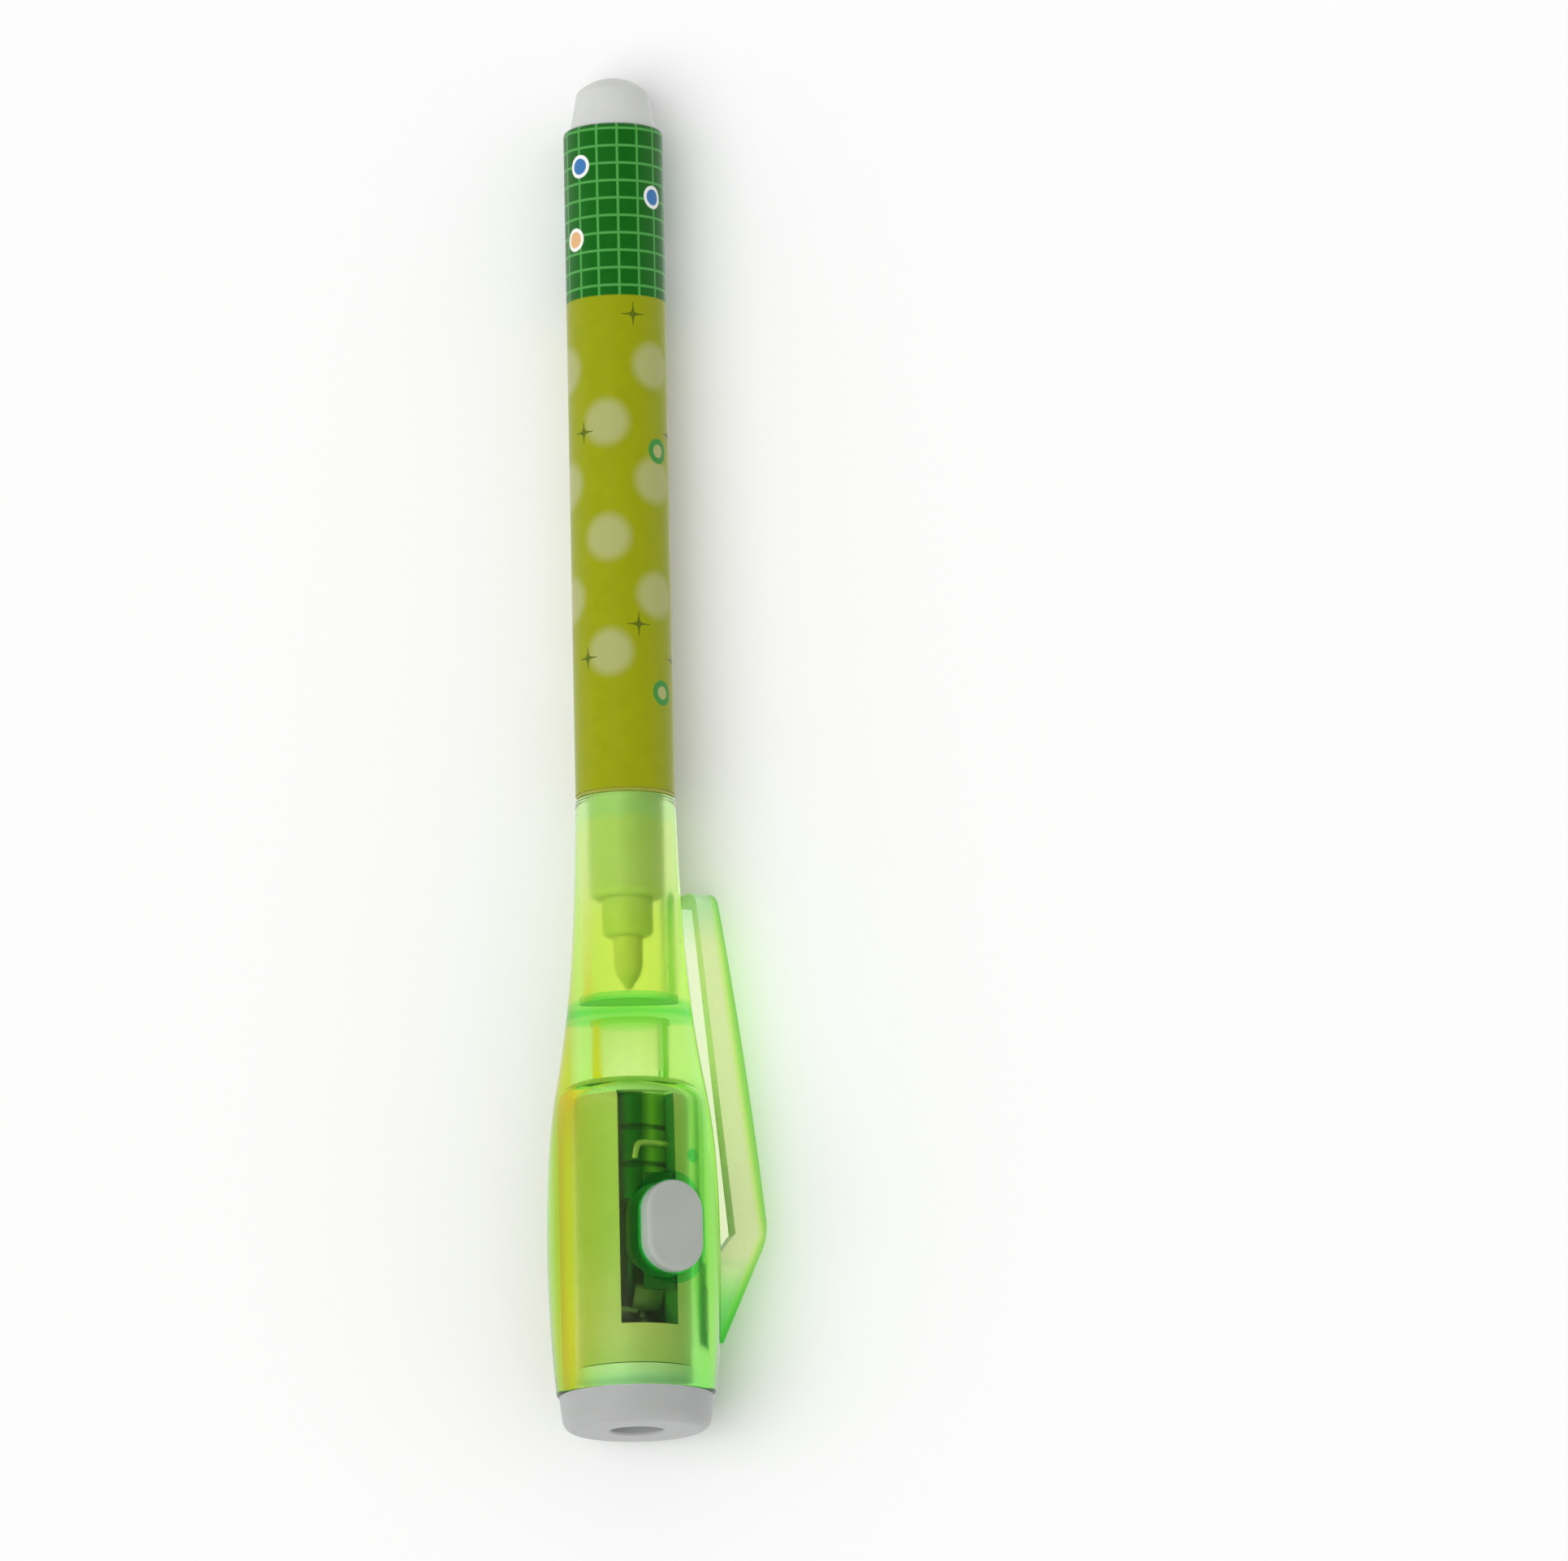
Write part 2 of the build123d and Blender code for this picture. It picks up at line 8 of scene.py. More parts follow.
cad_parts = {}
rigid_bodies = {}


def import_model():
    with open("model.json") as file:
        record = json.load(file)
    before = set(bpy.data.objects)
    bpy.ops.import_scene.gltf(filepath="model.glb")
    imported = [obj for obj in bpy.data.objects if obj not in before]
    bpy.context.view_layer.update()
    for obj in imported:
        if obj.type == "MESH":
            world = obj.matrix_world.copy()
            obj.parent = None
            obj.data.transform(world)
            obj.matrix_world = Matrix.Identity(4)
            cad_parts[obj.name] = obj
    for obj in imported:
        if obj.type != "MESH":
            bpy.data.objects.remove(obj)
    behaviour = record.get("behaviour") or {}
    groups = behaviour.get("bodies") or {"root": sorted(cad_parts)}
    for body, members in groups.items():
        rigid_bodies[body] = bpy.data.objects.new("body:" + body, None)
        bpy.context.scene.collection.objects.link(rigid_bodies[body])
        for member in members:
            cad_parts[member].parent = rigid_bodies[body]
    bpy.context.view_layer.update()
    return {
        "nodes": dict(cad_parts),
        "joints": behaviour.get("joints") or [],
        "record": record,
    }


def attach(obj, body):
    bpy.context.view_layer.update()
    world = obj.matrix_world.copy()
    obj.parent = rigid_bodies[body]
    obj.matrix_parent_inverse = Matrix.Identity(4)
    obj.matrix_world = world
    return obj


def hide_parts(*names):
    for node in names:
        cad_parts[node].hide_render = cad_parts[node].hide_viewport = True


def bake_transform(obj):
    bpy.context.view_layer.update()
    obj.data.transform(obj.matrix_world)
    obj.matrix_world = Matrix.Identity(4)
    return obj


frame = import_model()
nodes = frame["nodes"]
joints = {joint["name"]: joint for joint in frame["joints"]}
mounts = {mount["name"]: mount for mount in frame["record"]["mounts"]}
scene = bpy.context.scene

# The pen's own axes, from the frame: along it to the tail, sideways over the table, and up from the table
alongPen = -Vector(joints["cap_pull"]["axis"])
sideways = Vector((1, 0, 0))
upPen = sideways.cross(alongPen)
barrelMiddle = Vector(mounts["barrel"]["pos_m"])
lampFace = Vector(mounts["lamp_face"]["pos_m"])
lampEnd = barrelMiddle + alongPen * (lampFace - barrelMiddle).dot(alongPen)
penTurn = (math.atan2(alongPen.z, alongPen.y), 0, 0)
# The way that the button goes in, the same in the pen's axes, and the way that the clip stands out in them
inward = Vector(joints["button_press"]["axis"])
pressWay = Vector([inward.dot(axis) for axis in (sideways, alongPen, upPen)])
clipWay = pressWay.cross((0, 1, 0))
print("frame loaded:", len(nodes), "nodes, lamp end at", [round(value, 5) for value in lampEnd])


def toLinear(code, alpha=1.0):
    parts = [int(code[at:at + 2], 16) / 255 for at in (0, 2, 4)]
    return [part / 12.92 if part <= 0.04045 else ((part + 0.055) / 1.055) ** 2.4 for part in parts] + [alpha]


def addNode(tree, kind, inputs=(), **settings):
    # inputs go by name or in order, and a node given as one is linked from its first live output
    node = tree.nodes.new("ShaderNode" + kind)
    for name, value in settings.items():
        setattr(node, name, value)
    for name, value in inputs.items() if isinstance(inputs, dict) else enumerate(inputs):
        if isinstance(value, bpy.types.Node):
            value = next(socket for socket in value.outputs if socket.enabled)
        if isinstance(value, bpy.types.NodeSocket):
            tree.links.new(value, node.inputs[name])
        else:
            node.inputs[name].default_value = value
    return node


def startMaterial(name):
    material = bpy.data.materials.new(name)
    material.use_nodes = True
    tree = material.node_tree
    tree.nodes.clear()
    # millimetres in the pen's own axes: x sideways, y along from the lamp's face, z up
    coords = addNode(tree, "TexCoord").outputs["Object"]
    spot = addNode(tree, "Mapping", {
        "Vector": coords, "Location": lampEnd, "Rotation": penTurn, "Scale": (0.001, 0.001, 0.001),
    }, vector_type="TEXTURE")
    return material, tree, spot


def dress(material, *names):
    for name in names:
        mesh = nodes[name].data
        mesh.materials.clear()
        mesh.materials.append(material)


def middleAndHalf(low, high):
    return (low + high) / 2, (high - low) / 2


def tintOver(tree, distance, stops):
    # colours at distances in mm, blended from stop to stop
    first, last = stops[0][0], stops[-1][0]
    share = addNode(tree, "MapRange", {"Value": distance, "From Min": first, "From Max": last})
    ramp = addNode(tree, "ValToRGB", [share])
    marks = ramp.color_ramp.elements
    for at, colour in stops:
        place = (at - first) / (last - first)
        mark = marks[0] if at == first else marks[-1] if at == last else marks.new(place)
        mark.color = toLinear(colour)
    return ramp


def shadeOver(tree, tone, spot, way, stops):
    # a tone that changes with how many mm a point lies that way from the lamp's face
    distance = addNode(tree, "VectorMath", [spot, way], operation="DOT_PRODUCT")
    return addNode(tree, "Mix", {
        0: 1.0, 6: tone, 7: tintOver(tree, distance, stops),
    }, data_type="RGBA", blend_type="MULTIPLY")


def mottle(tree, spot, patch, detail, deep, pale):
    # two colours in soft patches that are so many mm across
    noise = addNode(tree, "TexNoise", {"Vector": spot, "Scale": 1 / patch, "Detail": detail})
    tone = addNode(tree, "Mix", {0: noise, 6: toLinear(deep), 7: toLinear(pale)}, data_type="RGBA")
    return noise, tone


# Lime polystyrene, injection moulded: polished outside, matt on the faces that the mould's cores leave. It is
# deeper where it is thick, and its tint drifts from painted mint light at the lamp's rim to yellow round the
# nib, with painted yellow light down one side and painted mint light down the other
capLook = {
    "name": "lime moulded polystyrene",
    "dye": (55.0, 9.0, 130.0),   # what a metre of it takes from red, green and blue, as a power of e
    "clear": 0.997,              # share of the light that passes a surface unscattered
    "index": 1.28,               # set low, because the walls bend what lies behind them only a little
    "along": (                   # tint at mm from the lamp's face, with painted mint light at the rim
        (3.4, "ccf6e0"), (5.5, "e8f6dc"), (9.0, "f4f6e6"), (18.0, "e6f2c4"), (31.0, "e4f2b8"),
        (34.5, "fffdee"), (40.0, "eef5cc"), (40.3, "8ae690"), (41.7, "8ae690"), (42.0, "eef6b0"),
        (43.0, "f0f8a8"), (50.0, "f0f8a8"), (54.0, "f0f7c4"), (59.4, "eef7c0"), (60.6, "e2f7d0"),
        (62.3, "e8f8d2"),
    ),
    "across": (                  # tint at mm left and right of the axis: painted yellow light on the left, paler at its edge, and painted mint light on the right
        (-8.3, "ffffd0"), (-7.5, "ffc808"), (-5.9, "ffcc10"), (-4.9, "ffffff"), (4.6, "ffffff"),
        (7.2, "b4f8b0"),
    ),
    "cores": (                   # faces: mm from the lamp's face, mm from the axis, colour, how matt
        ((4.0, 33.4), (5.4, 5.75), None, 0.2),
        ((33.4, 35.0), (3.1, 5.8), "dcf4a0", 0.5),
        ((34.8, 39.6), (2.8, 3.15), None, 0.25),
        ((39.4, 40.6), (0.0, 3.85), "c8f4a4", 0.5),
        ((40.6, 42.6), (0.0, 3.85), "8cec8c", 0.5),
        ((41.8, 62.2), (3.3, 4.0), None, 0.25),
    ),
    "slot": (18.75, 1.5, 3.15),  # the button's hole: its middle, half its straight run and its half width
    "slotWallGlowTint": "28f084",        # its matt wall, with a painted green glow
    "outside": 6.0,              # mm from the axis to where the faces are the outer ones
    "rim": 0.9,                  # mm round that hole where a green glow is painted
    "rimTint": "40d47a",
    "glint": (26.0, 2.75, 0.7),   # a painted green highlight: mm from the lamp's face, mm aside, its radius
    "glintTint": "40d07c",
    "shadow": "f8fcee",          # what it lets through to the floor
    "swell": 5.0,                # mm between the slow swells that moulding leaves
    "swellHeight": 0.012,
    "cloud": 1.3,                # mm across the patches of finer and coarser polish
    "polish": (0.03, 0.10),      # roughness of the finest and the coarsest
}
# The clip is the same plastic, frosted, so it scatters and looks paler, and its outer edge gathers the light
# and turns green
clipLook = capLook | {
    "name": "frosted lime polystyrene",
    "dye": (14.0, 2.0, 50.0),
    "clear": 0.15,
    "along": ((8.0, "4cd872"), (13.0, "98ee84"), (17.5, "f0fdbe"), (48.0, "f0fdbc"), (52.0, "c8f2b8")),
    "across": ((0.0, "9ae68a"), (0.45, "baf092"), (0.9, "f0ffc8"), (1.3, "ffffff")),   # mm from its edge
    "cores": (),
    "slot": None,
    "edges": ((8.75, 8.42), (19.65, 13.4), (53.26, 8.9)),   # its outline: mm along the pen, mm from its axis
    "shadow": "fcfef8",
    "polish": (0.22, 0.36),
}
# The clip's far wall, turned away from the button, is left clear and painted paler, a lit copy of the clip's
# plastic that lifts the shade which the near wall casts on it
farLitLook = clipLook | {
    "name": "clear lime polystyrene with painted light",
    "clear": 0.92,
    # paler tints: painted light in the near wall's shade
    "along": ((8.0, "4cd872"), (13.0, "98ee84"), (17.5, "f4fcd8"), (48.0, "f6fde0"), (52.0, "d0f6c0")),
    "start": 1.05,               # mm from the pen's axis, the way that the button goes in
}


def makeStyrene(look):
    material, tree, spot = startMaterial(look["name"])
    split = addNode(tree, "SeparateXYZ", [spot])
    height = split.outputs["Y"]
    toClip = addNode(tree, "VectorMath", [spot, clipWay], operation="DOT_PRODUCT")
    aside = split.outputs["X"]
    if "edges" in look:
        lines = []
        for (start, startOut), (end, endOut) in zip(look["edges"], look["edges"][1:]):
            slope = (endOut - startOut) / (end - start)
            offset = startOut - slope * start
            lines.append(addNode(tree, "Math", [height, slope, offset], operation="MULTIPLY_ADD"))
        edge = addNode(tree, "Math", lines, operation="MINIMUM")
        aside = addNode(tree, "Math", [edge, toClip], operation="SUBTRACT")
    tint = addNode(tree, "Mix", {
        0: 1.0, 6: tintOver(tree, height, look["along"]), 7: tintOver(tree, aside, look["across"]),
    }, data_type="RGBA", blend_type="MULTIPLY")
    out = addNode(tree, "CombineXYZ", [split.outputs["X"], split.outputs["Z"]])
    radius = addNode(tree, "VectorMath", [out], operation="LENGTH")
    matt = 0.0
    for reach, ring, colour, level in look["cores"]:
        reached = addNode(tree, "Math", [height, *middleAndHalf(*reach)], operation="COMPARE")
        ringed = addNode(tree, "Math", [radius, *middleAndHalf(*ring)], operation="COMPARE")
        face = addNode(tree, "Math", [reached, ringed], operation="MULTIPLY")
        if colour:
            tint = addNode(tree, "Mix", {0: face, 6: tint, 7: toLinear(colour)}, data_type="RGBA")
        faceMatt = addNode(tree, "Math", [face, level], operation="MULTIPLY")
        matt = addNode(tree, "Math", [faceMatt, matt], operation="MAXIMUM")
    if look["slot"]:
        middle, run, wide = look["slot"]
        fromMiddle = addNode(tree, "Math", [height, middle], operation="SUBTRACT")
        fromMiddle = addNode(tree, "Math", [fromMiddle], operation="ABSOLUTE")
        pastRun = addNode(tree, "Math", [fromMiddle, run], operation="SUBTRACT")
        pastRun = addNode(tree, "Math", [pastRun, 0.0], operation="MAXIMUM")
        fromSlot = addNode(tree, "CombineXYZ", [pastRun, toClip])
        fromSlot = addNode(tree, "VectorMath", [fromSlot], operation="LENGTH")
        glintAlong, glintSide, glintRadius = look["glint"]
        fromGlint = addNode(tree, "CombineXYZ", [height, toClip])
        fromGlint = addNode(tree, "VectorMath", [fromGlint, (glintAlong, glintSide, 0)], operation="DISTANCE")
        depth = addNode(tree, "VectorMath", [spot, pressWay], operation="DOT_PRODUCT")
        nearSide = addNode(tree, "Math", [depth, 0.0], operation="LESS_THAN")
        outside = addNode(tree, "Math", [radius, look["outside"]], operation="GREATER_THAN")
        outside = addNode(tree, "Math", [outside, nearSide], operation="MULTIPLY")
        # painted light: a green glow round the hole and on its wall, and a green highlight on the outer face
        for distance, reach, side, colour in (
            (fromSlot, (wide, wide + look["rim"]), outside, look["rimTint"]),
            (fromGlint, (-glintRadius, glintRadius), outside, look["glintTint"]),
            (fromSlot, (-wide, wide), nearSide, look["slotWallGlowTint"]),
        ):
            reached = addNode(tree, "Math", [distance, *middleAndHalf(*reach)], operation="COMPARE")
            face = addNode(tree, "Math", [reached, side], operation="MULTIPLY")
            tint = addNode(tree, "Mix", {0: face, 6: tint, 7: toLinear(colour)}, data_type="RGBA")
        matt = addNode(tree, "Math", [face, matt], operation="MAXIMUM")
    swell = addNode(tree, "TexNoise", {"Vector": spot, "Scale": 1 / look["swell"], "Detail": 1.0})
    bump = addNode(tree, "Bump", {"Height": swell, "Distance": look["swellHeight"] / 1000})
    cloud = addNode(tree, "TexNoise", {"Vector": spot, "Scale": 1 / look["cloud"], "Detail": 4.0})
    finest, coarsest = look["polish"]
    polish = addNode(tree, "MapRange", {"Value": cloud, "To Min": finest, "To Max": coarsest})
    rough = addNode(tree, "MapRange", {"Value": matt, "To Min": polish, "To Max": 1.0})
    skin = addNode(tree, "BsdfPrincipled", {
        "Base Color": tint, "Roughness": rough, "IOR": look["index"],
        "Transmission Weight": look["clear"], "Normal": bump,
    })
    glow = addNode(tree, "BsdfTransparent", {"Color": toLinear(look["shadow"])})
    ray = addNode(tree, "LightPath")
    surface = addNode(tree, "MixShader", [ray.outputs["Is Shadow Ray"], skin, glow])
    density = max(look["dye"])
    dye = addNode(tree, "VolumeAbsorption", {
        "Color": [1 - part / density for part in look["dye"]] + [1], "Density": density,
    })
    addNode(tree, "OutputMaterial", {"Surface": surface, "Volume": dye})
    return material


# Moulded ABS, satin from a spark-eroded mould: soft highlights and a fine grain
absLook = {
    "patch": 4.0,                # mm across the patches of tone
    "grain": 0.25,               # mm between grains, coarser than real ones so that they show
    "grainHeight": 0.006,
    "rough": (0.38, 0.5),        # roughness of the smoothest and the coarsest patches
    "index": 1.53,
    "milk": 0.2,                 # share of the light that wanders under the surface, and how deep in mm
    "milkDepth": 1.0,
}


def makeAbs(name, pale, deep, way=None, stops=()):
    look = absLook
    material, tree, spot = startMaterial(name)
    drift, tone = mottle(tree, spot, look["patch"], 3.0, deep, pale)
    if stops:
        tone = shadeOver(tree, tone, spot, way, stops)
    grain = addNode(tree, "TexNoise", {"Vector": spot, "Scale": 1 / look["grain"], "Detail": 2.0})
    bump = addNode(tree, "Bump", {"Height": grain, "Distance": look["grainHeight"] / 1000})
    smooth, coarse = look["rough"]
    rough = addNode(tree, "MapRange", {"Value": drift, "To Min": smooth, "To Max": coarse})
    skin = addNode(tree, "BsdfPrincipled", {
        "Base Color": tone, "Roughness": rough, "IOR": look["index"], "Normal": bump,
        "Subsurface Weight": look["milk"], "Subsurface Scale": look["milkDepth"] / 1000,
    })
    addNode(tree, "OutputMaterial", {"Surface": skin})
    return material


# Glossy printed film on the barrel: a green grid band at the tail, soft dots and sparkles on olive yellow.
# Places on it are mm round from its top, and mm from the lamp's face
filmLook = {
    "radius": 4.85,
    "blot": 1.4286,              # mm across the patches of thicker and thinner ink
    "bleed": 0.06,               # mm over which an ink edge fades
    "ripple": 2.2222,            # mm between the film's ripples
    "rippleHeight": 0.01,
    "rough": (0.26, 0.38),       # roughness of the smoothest and the coarsest patches
    "index": 1.5,
    "gloss": 0.18,
    "bandStart": 111.5,          # mm from the lamp's face to the band, and half the blur of its edge
    "bandEdge": 0.12,
    "green": "0c6a10",
    "deepGreen": "085c0b",
    "line": "4fa24b",
    "lineHalf": 0.12,
    "lineStart": (0.4, 112.5),
    "linesRound": 15,
    "lineStep": 1.74,
    "yellow": "9ba300",
    "deepYellow": "8f9700",
    "dot": "acaf6c",
    "dotStarts": ((-1.2, 87.5), (3.879, 93.2)),
    "dotsRound": 3,
    "dotStep": 11.4,
    "dotRadius": 2.2,
    "dotFade": 0.7,
    "dotRows": (73.3, 107.5),    # mm from the lamp's face between which the soft dots lie
    "ringGreen": "3f8f3a",
    "ringStart": (4.4, 96.2),
    "ringsRound": 2,
    "ringStep": 24.0,
    "ringRadii": (1.25, 0.65),   # outer and inner
    "sparkle": "5d6c0c",
    "sparkleThick": 0.05,        # mm by mm: the product of the two sides at an arm's edge
    "sparkleFade": 0.02,
    "sparkles": (                # start, how many round, step along, reach
        ((1.7, 109.6), 2, 30.8, 1.2),
        ((-3.7, 75.7), 3, 22.4, 1.1),
    ),
    "paper": "f0f2ee",
    "discs": (                   # colour and start of the discs on the band
        ("3d78b4", (4.3, 121.5)),
        ("e3b27c", (-4.4, 117.4)),
        ("3d78b4", (-3.6, 124.6)),
    ),
    "discsRound": 2,
    "discStep": 40.0,
    "discRadii": (1.15, 0.8),    # of the paper ring and of the colour in it
}


def makeFilm():
    look = filmLook
    material, tree, spot = startMaterial("glossy printed film")
    split = addNode(tree, "SeparateXYZ", [spot])
    height = split.outputs["Y"]
    turn = addNode(tree, "Math", [split.outputs["X"], split.outputs["Z"]], operation="ARCTAN2")
    arc = addNode(tree, "Math", [turn, look["radius"]], operation="MULTIPLY")
    flat = addNode(tree, "CombineXYZ", [arc, height])

    def fromNearest(start, count, step):
        # where a point lies from the nearest of the places that repeat so often round and by a step along
        moved = addNode(tree, "VectorMath", [flat, (*start, 0)], operation="SUBTRACT")
        halfRound, halfStep = math.pi * look["radius"] / count, step / 2
        wrapped = addNode(tree, "VectorMath", [
            moved, (halfRound, halfStep, 1), (-halfRound, -halfStep, -1),
        ], operation="WRAP")
        return addNode(tree, "VectorMath", [wrapped], operation="ABSOLUTE")

    def disc(place, edge, fade=look["bleed"]):
        away = addNode(tree, "VectorMath", [fromNearest(*place)], operation="LENGTH")
        return addNode(tree, "MapRange", {
            "Value": away, "From Min": edge + fade, "From Max": edge - fade,
        }, interpolation_type="SMOOTHSTEP")

    def sparkle(place, reach):
        sides = addNode(tree, "SeparateXYZ", [fromNearest(*place)])
        sharp = addNode(tree, "Math", [sides.outputs["X"], sides.outputs["Y"]], operation="MULTIPLY")
        thick, fade = look["sparkleThick"], look["sparkleFade"]
        arms = addNode(tree, "MapRange", {
            "Value": sharp, "From Min": thick + fade, "From Max": thick - fade,
        }, interpolation_type="SMOOTHSTEP")
        return addNode(tree, "Math", [arms, disc(place, reach)], operation="MULTIPLY")

    def printOn(under, *inks):
        # each ink is a colour and where it lies, later ones over earlier ones
        for colour, mask in inks:
            under = addNode(tree, "Mix", {0: mask, 6: under, 7: toLinear(colour)}, data_type="RGBA")
        return under

    blot, field = mottle(tree, spot, look["blot"], 5.0, look["deepYellow"], look["yellow"])
    dotted = addNode(tree, "Math", [height, *middleAndHalf(*look["dotRows"])], operation="COMPARE")
    for start in look["dotStarts"]:
        dot = disc((start, look["dotsRound"], look["dotStep"]), look["dotRadius"], look["dotFade"])
        field = printOn(field, (look["dot"], addNode(tree, "Math", [dot, dotted], operation="MULTIPLY")))
    place = (look["ringStart"], look["ringsRound"], look["ringStep"])
    outer, inner = look["ringRadii"]
    field = printOn(field, (look["ringGreen"], disc(place, outer)), (look["dot"], disc(place, inner)))
    for *place, reach in look["sparkles"]:
        field = printOn(field, (look["sparkle"], sparkle(place, reach)))
    band = addNode(tree, "Mix", {
        0: blot, 6: toLinear(look["deepGreen"]), 7: toLinear(look["green"]),
    }, data_type="RGBA")
    grid = fromNearest(look["lineStart"], look["linesRound"], look["lineStep"])
    grid = addNode(tree, "SeparateXYZ", [grid])
    nearLine = addNode(tree, "Math", [grid.outputs["X"], grid.outputs["Y"]], operation="MINIMUM")
    line = addNode(tree, "MapRange", {
        "Value": nearLine,
        "From Min": look["lineHalf"] + look["bleed"], "From Max": look["lineHalf"] - look["bleed"],
    }, interpolation_type="SMOOTHSTEP")
    band = printOn(band, (look["line"], line))
    outer, inner = look["discRadii"]
    for colour, start in look["discs"]:
        place = (start, look["discsRound"], look["discStep"])
        band = printOn(band, (look["paper"], disc(place, outer)), (colour, disc(place, inner)))
    banded = addNode(tree, "MapRange", {
        "Value": height,
        "From Min": look["bandStart"] - look["bandEdge"], "From Max": look["bandStart"] + look["bandEdge"],
    }, interpolation_type="SMOOTHSTEP")
    artwork = addNode(tree, "Mix", {0: banded, 6: field, 7: band}, data_type="RGBA")
    ripple = addNode(tree, "TexNoise", {"Vector": spot, "Scale": 1 / look["ripple"], "Detail": 2.0})
    bump = addNode(tree, "Bump", {"Height": ripple, "Distance": look["rippleHeight"] / 1000})
    smooth, coarse = look["rough"]
    rough = addNode(tree, "MapRange", {"Value": blot, "To Min": smooth, "To Max": coarse})
    skin = addNode(tree, "BsdfPrincipled", {
        "Base Color": artwork, "Roughness": rough, "IOR": look["index"],
        "Specular IOR Level": look["gloss"], "Normal": bump,
    })
    addNode(tree, "OutputMaterial", {"Surface": skin})
    return material


# Milky tinted plastic, translucent: colours drift slowly and the surface is softly polished
milkyLook = {
    "patch": 3.3333,             # mm across the patches of tone
    "polish": (0.8, 1.2),        # shares of the roughness that the polish varies between
    "index": 1.49,
    "milk": 0.5,                 # share of the light that wanders under the surface
    "spread": (0.8, 1.0, 0.4),   # how far red, green and blue wander, as shares of the depth
}


def makeMilky(name, pale, deep, rough, depth):
    look = milkyLook
    material, tree, spot = startMaterial(name)
    drift, tone = mottle(tree, spot, look["patch"], 3.0, deep, pale)
    smooth, coarse = [rough * share for share in look["polish"]]
    polish = addNode(tree, "MapRange", {"Value": drift, "To Min": smooth, "To Max": coarse})
    skin = addNode(tree, "BsdfPrincipled", {
        "Base Color": tone, "Roughness": polish, "IOR": look["index"],
        "Subsurface Weight": look["milk"], "Subsurface Scale": depth / 1000,
        "Subsurface Radius": look["spread"],
    })
    addNode(tree, "OutputMaterial", {"Surface": skin})
    return material


# Carrier of green-tinted polystyrene: frosted pale outside, with painted light on its top rim and painted
# deep-green shade on its inner faces
carrierLook = {
    "frost": "d6d8aa",
    "shade": "c8cc96",
    "patch": 2.5,                # mm across the patches of the two
    # painted shade: deep green on the inner faces
    "inner": "0e7a18",
    "outwards": 0.5,             # how far a face must turn outwards not to be an inner one, as a cosine
    # painted light on the top rim
    "rim": "d4ffd0",
    "rimStart": 32.4,            # mm from the lamp's face to where the painted light on the rim starts
    "rough": 0.4,
    "index": 1.5,
}


def makeCarrier():
    look = carrierLook
    material, tree, spot = startMaterial("green frosted polystyrene")
    split = addNode(tree, "SeparateXYZ", [spot])
    out = addNode(tree, "CombineXYZ", {"X": split.outputs["X"], "Z": split.outputs["Z"]})
    way = addNode(tree, "VectorMath", [out], operation="NORMALIZE")
    facing = addNode(tree, "TexCoord").outputs["Normal"]
    outwards = addNode(tree, "VectorMath", [facing, way], operation="DOT_PRODUCT")
    # the inner faces, which get the painted shade
    innerShadeMask = addNode(tree, "Math", [outwards, look["outwards"]], operation="LESS_THAN")
    belowPaintedRim = addNode(tree, "Math", [split.outputs["Y"], look["rimStart"]], operation="LESS_THAN")
    frost = mottle(tree, spot, look["patch"], 3.0, look["shade"], look["frost"])[1]
    tone = addNode(tree, "Mix", {0: innerShadeMask, 6: frost, 7: toLinear(look["inner"])}, data_type="RGBA")
    tone = addNode(tree, "Mix", {0: belowPaintedRim, 6: toLinear(look["rim"]), 7: tone}, data_type="RGBA")
    skin = addNode(tree, "BsdfPrincipled", {
        "Base Color": tone, "Roughness": look["rough"], "IOR": look["index"],
    })
    addNode(tree, "OutputMaterial", {"Surface": skin})
    return material


# Fibre: drawn bundles along the pen, with no shine
fibreLook = {
    "drawn": (1, 0.06, 1),       # the pattern is drawn out along the pen
    "relief": 0.03,              # mm
    "rough": 0.85,
}


def makeFibre(name, pale, deep, strand):
    look = fibreLook
    material, tree, spot = startMaterial(name)
    drawn = addNode(tree, "Mapping", {"Vector": spot, "Scale": look["drawn"]})
    strands, tone = mottle(tree, drawn, strand, 3.0, deep, pale)
    bump = addNode(tree, "Bump", {"Height": strands, "Distance": look["relief"] / 1000})
    skin = addNode(tree, "BsdfPrincipled", {"Base Color": tone, "Roughness": look["rough"], "Normal": bump})
    addNode(tree, "OutputMaterial", {"Surface": skin})
    return material


# Plated steel, drawn or stamped: fine scratches, drawn coarser than real ones so that they show, and a duller
# patch here and there
steelLook = {
    "patch": 1.1111,             # mm across the patches
    "scratchDepth": 0.004,
    "polish": (0.7, 1.4),        # shares of the roughness that the polish varies between
}


def makeSteel(name, bright, dull, rough, scratch, way=None, stops=()):
    look = steelLook
    material, tree, spot = startMaterial(name)
    cloud, tone = mottle(tree, spot, look["patch"], 4.0, dull, bright)
    if stops:
        tone = shadeOver(tree, tone, spot, way, stops)
    fine = addNode(tree, "TexNoise", {"Vector": spot, "Scale": 1 / scratch, "Detail": 2.0})
    bump = addNode(tree, "Bump", {"Height": fine, "Distance": look["scratchDepth"] / 1000})
    smooth, coarse = [rough * share for share in look["polish"]]
    polish = addNode(tree, "MapRange", {"Value": cloud, "To Min": smooth, "To Max": coarse})
    skin = addNode(tree, "BsdfPrincipled", {
        "Base Color": tone, "Metallic": 1.0, "Roughness": polish, "Normal": bump,
    })
    addNode(tree, "OutputMaterial", {"Surface": skin})
    return material


# Clear cast epoxy: water-clear with a breath of violet
epoxyLook = {
    "colour": "eeecf6",
    "patch": 1.25,               # mm across the patches of finer and coarser polish
    "polish": (0.02, 0.06),      # roughness of the finest and the coarsest
    "index": 1.5,
}


